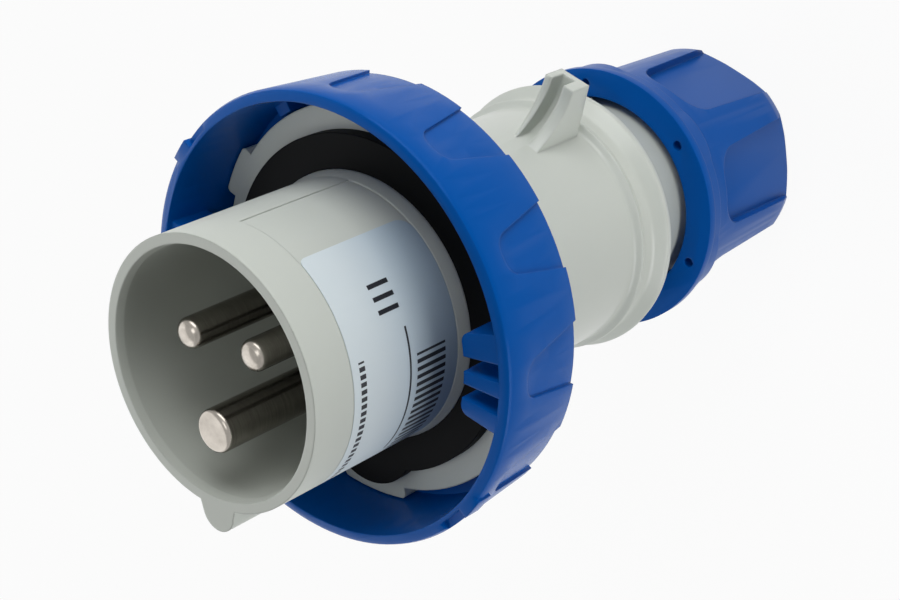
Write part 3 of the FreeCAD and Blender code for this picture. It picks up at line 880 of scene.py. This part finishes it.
@dataclass
class Handle:
    """Rear grip with its rounded crest, its neck and the catch for a socket's lid.

    Points of the crest, the brow and the slot's floor are given by how far they stand out from the
    grip and how high they are: above the crest, or above the foot of the catch.
    """

    shoulder_step: float = 4.6
    shoulder_edge: float = 3.4
    shoulder_foot: float = 7.5
    crest_lift: float = 33.3
    crest: tuple[Corner, ...] = (
        (0.0, 6.9, 1.0), (1.3, 6.0, 0.35), (0.4, 4.6, 1.2), (0.5, 2.5, 1.6), (2.5, 0.5, 0.5),
        (2.1, -1.1, 0.8))
    top_fillet: float = 0.3
    shoulder_fillet: float = 1.2
    grip_fillet: float = 2.0
    neck: float = 17.5
    neck_flare: float = 0.9
    flare_fillet: float = 1.6
    flare_drop: float = 4.4
    neck_drop: float = 8.6
    nose: float = 17.0
    nose_length: float = 12.0
    nose_fillet: float = 0.3
    rim_fillet: float = 0.2
    seat_bore: float = 15.3
    seat_depth: float = 14.0
    throat: float = 12.5
    cavity: float = 18.8
    cavity_lift: float = 5.0
    socket: float = 19.05
    socket_depth: float = 12.5
    turn_steps: int = 160
    catch_clock: float = 20.0
    catch_sink: float = 1.9
    catch_lift: float = 7.7
    catch_heel: float = 1.6
    catch_brow: tuple[Point, ...] = ((10.0, 6.0), (4.5, 7.3), (-0.5, 11.7))
    catch_sides: tuple[float, float] = (-2.9, 3.1)
    catch_taper: tuple[float, float] = (0.32, -0.05)
    catch_edge: float = 0.45
    slot_floor: tuple[Point, ...] = ((10.6, 2.9), (3.1, 4.1), (-0.6, 9.6))
    slot_sides: tuple[float, float] = (-1.6, 1.0)
    slot_room: float = 8.0

    def build(self, shop: Workshop) -> None:
        """Makes the grip with its catch.

        Args:
            shop: The workshop that keeps the finishes.
        """
        grip = smooth_object("grip_moulding", lathe(self.section(), steps=self.turn_steps))
        combine(grip, self.catch(), Joining.ADD)
        shop.place(grip, Body.HOUSING, "grey_plastic", HANDLE_GREY, ["rear_handle"])

    def section(self) -> list[Point]:
        """Gives the rounded section of the grip, down its outside and up its bore.

        Returns:
            Radius and height of each point.
        """
        rear, top = node_span("rear_handle")
        shoulder, crest_z = node_reach("rear_handle"), rear + self.crest_lift
        grip, step, seat = shoulder - self.shoulder_step, rear + self.nose_length, rear + self.seat_depth
        floor, mouth = crest_z + self.cavity_lift, top - self.socket_depth
        crest = [(grip + out, crest_z + up, fillet) for out, up, fillet in self.crest]
        return rounded([
            (shoulder, top, self.top_fillet), (shoulder, top - self.shoulder_edge, self.shoulder_fillet),
            (grip, top - self.shoulder_foot, self.grip_fillet), *crest,
            (self.neck + self.neck_flare, crest_z - self.flare_drop, self.flare_fillet),
            (self.neck, crest_z - self.neck_drop, 0.0), (self.neck, step, 0.0),
            (self.nose, step, self.rim_fillet), (self.nose, rear, self.nose_fillet),
            (self.seat_bore, rear, self.rim_fillet), (self.seat_bore, seat, 0.0),
            (self.throat, seat, 0.0), (self.throat, floor, 0.0), (self.cavity, floor, 0.0),
            (self.cavity, mouth, 0.0), (self.socket, mouth, 0.0), (self.socket, top, self.rim_fillet),
        ])

    def catch(self) -> bpy.types.Object:
        """Makes the hooded catch with its open slot.

        Returns:
            The catch, in its place on the grip.
        """
        grip = node_reach("rear_handle") - self.shoulder_step
        foot = node_span("rear_handle")[0] + self.crest_lift + self.catch_lift
        brow = [(grip + out, foot + up) for out, up in self.catch_brow]
        floor = [(grip + out, foot + up) for out, up in self.slot_floor]
        root, top, start, toe = grip - self.catch_sink, brow[0][0], brow[0][1], brow[-1][1]
        outline = [(root, foot), (top, foot + self.catch_heel), *bowed(*brow), (root, toe)]
        hood = slab(outline, *self.catch_sides)
        for vert in hood.verts:
            share = max(0.0, (vert.co.z - start) / (toe - start))
            taper = self.catch_taper[0] if vert.co.x < 0 else self.catch_taper[1]
            vert.co.x *= 1.0 - taper * share
        catch = smooth_object("lid_catch", hood)
        past = toe + self.slot_room
        slot = slab([*bowed(*floor), (floor[-1][0], past), (floor[0][0], past)], *self.slot_sides)
        combine(catch, smooth_object("catch_slot", slot), Joining.CUT)
        soften(catch, self.catch_edge)
        catch.data.transform(Matrix.Rotation(math.radians(-self.catch_clock), 4, "Z"))
        return catch


@dataclass
class Gland:
    """Gland nut and the pieces that it closes on the cable.

    The nut is trimmed to an envelope, by radius and height, that rounds its rear edge.
    """

    edge: float = 0.3
    envelope: tuple[Point, ...] = (
        (30.0, 60.0), (30.0, 18.0), (24.0, 14.0), (21.6, 8.0), (20.8, 5.2), (20.3, 3.4), (19.3, 1.8),
        (17.9, 0.7), (16.2, 0.1), (12.0, 0.0), (0.0, 0.0), (0.0, 60.0))
    turn_steps: int = 96

    def build(self, shop: Workshop) -> None:
        """Trims and dresses the nut, and dresses what is inside it.

        Args:
            shop: The workshop that keeps the finishes.
        """
        nut = moulding_copy("gland_nut", "lobed_nut")
        envelope = smooth_object("nut_envelope", lathe(self.envelope, steps=self.turn_steps))
        combine(nut, envelope, Joining.TRIM)
        soften(nut, self.edge)
        shop.place(nut, Body.NUT, "nut_plastic", NUT_BLUE, ["gland_nut"])
        shop.dress("gland_washer", PLATE_STEEL)
        shop.dress("clamp_basket", BASKET_GREY)
        shop.dress("gland_grommet", SEAL_BLACK)


# studio


@dataclass(frozen=True)
class Lamp:
    """One soft lamp, aimed at the plug from a clock angle, a distance sideways and a height."""

    name: str
    clock: float
    reach: float
    height: float
    size: tuple[float, float]
    power: float


@dataclass
class Studio:
    """Pale floor, soft lamps and the camera at the photograph's angle."""

    target: tuple[float, float, float] = (2.76, -4.38, 82.34)
    camera_place: tuple[float, float, float] = (191.63, 114.63, 303.03)
    camera_roll: float = 115.33
    lens: float = 76.09
    sensor: float = 36.0
    clip: tuple[float, float] = (0.01, 50.0)
    floor_side: float = 6.0
    floor_paint: float = 0.7
    world_strength: float = 0.07
    room_white: float = 0.97
    floor_glow: float = 0.93
    lamps: tuple[Lamp, ...] = (
        Lamp("upper_lamp", 10.0, 340.0, 165.0, (300.0, 280.0), 0.97),
        Lamp("right_lamp", 118.0, 340.0, 90.0, (260.0, 130.0), 0.55),
        Lamp("left_card", 238.0, 500.0, 390.0, (1300.0, 860.0), 4.0),
        Lamp("front_lamp", 50.0, 310.0, 660.0, (260.0, 260.0), 0.55),
    )

    def build(self) -> None:
        """Builds the camera, lamps, world and floor."""
        self.camera()
        for lamp in self.lamps:
            self.lamp(lamp)
        self.world()
        self.floor()

    def aimed(self, place: Vector, roll: float = 0.0) -> Matrix:
        """Gives the matrix of something that looks at the target.

        Args:
            place: Where it stands, in metres.
            roll: Turn about the line of sight in degrees.

        Returns:
            Its world matrix.
        """
        sight = Vector(self.target) * MM - place
        turn = sight.to_track_quat("-Z", "Y").to_matrix().to_4x4()
        return Matrix.Translation(place) @ turn @ Matrix.Rotation(math.radians(roll), 4, "Z")

    def camera(self) -> None:
        """Sets the camera where the photograph was taken."""
        data = bpy.data.cameras.new("photo_camera")
        data.lens = self.lens
        data.sensor_width = self.sensor
        data.clip_start, data.clip_end = self.clip
        camera = bpy.data.objects.new("photo_camera", data)
        bpy.context.scene.collection.objects.link(camera)
        camera.matrix_world = self.aimed(Vector(self.camera_place) * MM, -self.camera_roll)
        bpy.context.scene.camera = camera

    def lamp(self, lamp: Lamp) -> None:
        """Hangs one soft lamp.

        Args:
            lamp: The lamp to hang.
        """
        data = bpy.data.lights.new(lamp.name, "AREA")
        data.shape = "RECTANGLE"
        data.size, data.size_y = (side * MM for side in lamp.size)
        data.energy = lamp.power
        light = bpy.data.objects.new(lamp.name, data)
        bpy.context.scene.collection.objects.link(light)
        light.visible_camera = False
        light.matrix_world = self.aimed(at_clock(lamp.reach, lamp.clock, lamp.height) * MM)

    def world(self) -> None:
        """Fills the room with even faint light, and shows it white where it is seen or mirrored."""
        world = bpy.data.worlds.new("studio_room")
        world.use_nodes = True
        background = world.node_tree.nodes["Background"]
        background.inputs["Color"].default_value = opaque((1.0, 1.0, 1.0))
        sheet = NodeSheet(world.node_tree)
        shown = sheet.maths("MULTIPLY", self.seen(sheet), self.room_white - self.world_strength)
        strength = sheet.maths("ADD", shown, self.world_strength)
        sheet.join(background, {"Strength": strength})
        bpy.context.scene.world = world

    def seen(self, sheet: NodeSheet) -> bpy.types.NodeSocket:
        """Finds the rays that show a surface itself.

        Args:
            sheet: The sheet of the material or world that asks.

        Returns:
            A value that is 1 for rays from the camera, mirrors and glass, and 0 for all others.
        """
        rays = sheet.add("ShaderNodeLightPath").outputs
        mirrored = sheet.maths("MAXIMUM", rays["Is Glossy Ray"], rays["Is Transmission Ray"])
        return sheet.maths("MAXIMUM", rays["Is Camera Ray"], mirrored)

    def floor(self) -> None:
        """Lays a pale floor that shows white and keeps a faint shadow."""
        form = bmesh.new()
        bmesh.ops.create_grid(form, x_segments=1, y_segments=1, size=self.floor_side / 2)
        floor = smooth_object("studio_floor", form, scale=1.0)
        material = bpy.data.materials.new("pale_floor")
        material.use_nodes = True
        nodes = material.node_tree.nodes
        nodes.clear()
        sheet = NodeSheet(material.node_tree)
        paint = sheet.add("ShaderNodeBsdfDiffuse", {"Color": opaque((self.floor_paint,) * 3)})
        glow = sheet.add("ShaderNodeEmission", {"Color": opaque((1.0, 1.0, 1.0)), "Strength": 1.0})
        share = sheet.maths("MULTIPLY", self.seen(sheet), self.floor_glow)
        mix = sheet.add("ShaderNodeMixShader", {0: share, 1: paint.outputs[0], 2: glow.outputs[0]})
        sheet.add("ShaderNodeOutputMaterial", {"Surface": mix.outputs[0]})
        floor.data.materials.append(material)


def main() -> None:
    """Builds the plug's looks and its studio in order."""
    logging.basicConfig(level=logging.INFO, format="%(name)s: %(message)s")
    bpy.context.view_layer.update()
    bpy.context.scene.view_settings.view_transform = "Standard"
    Studio().build()
    shop = Workshop()
    for assembly in (FrontEnd(), Contacts(), RingAssembly(), Handle(), Gland()):
        assembly.build(shop)


if __name__ == "__main__":
    main()
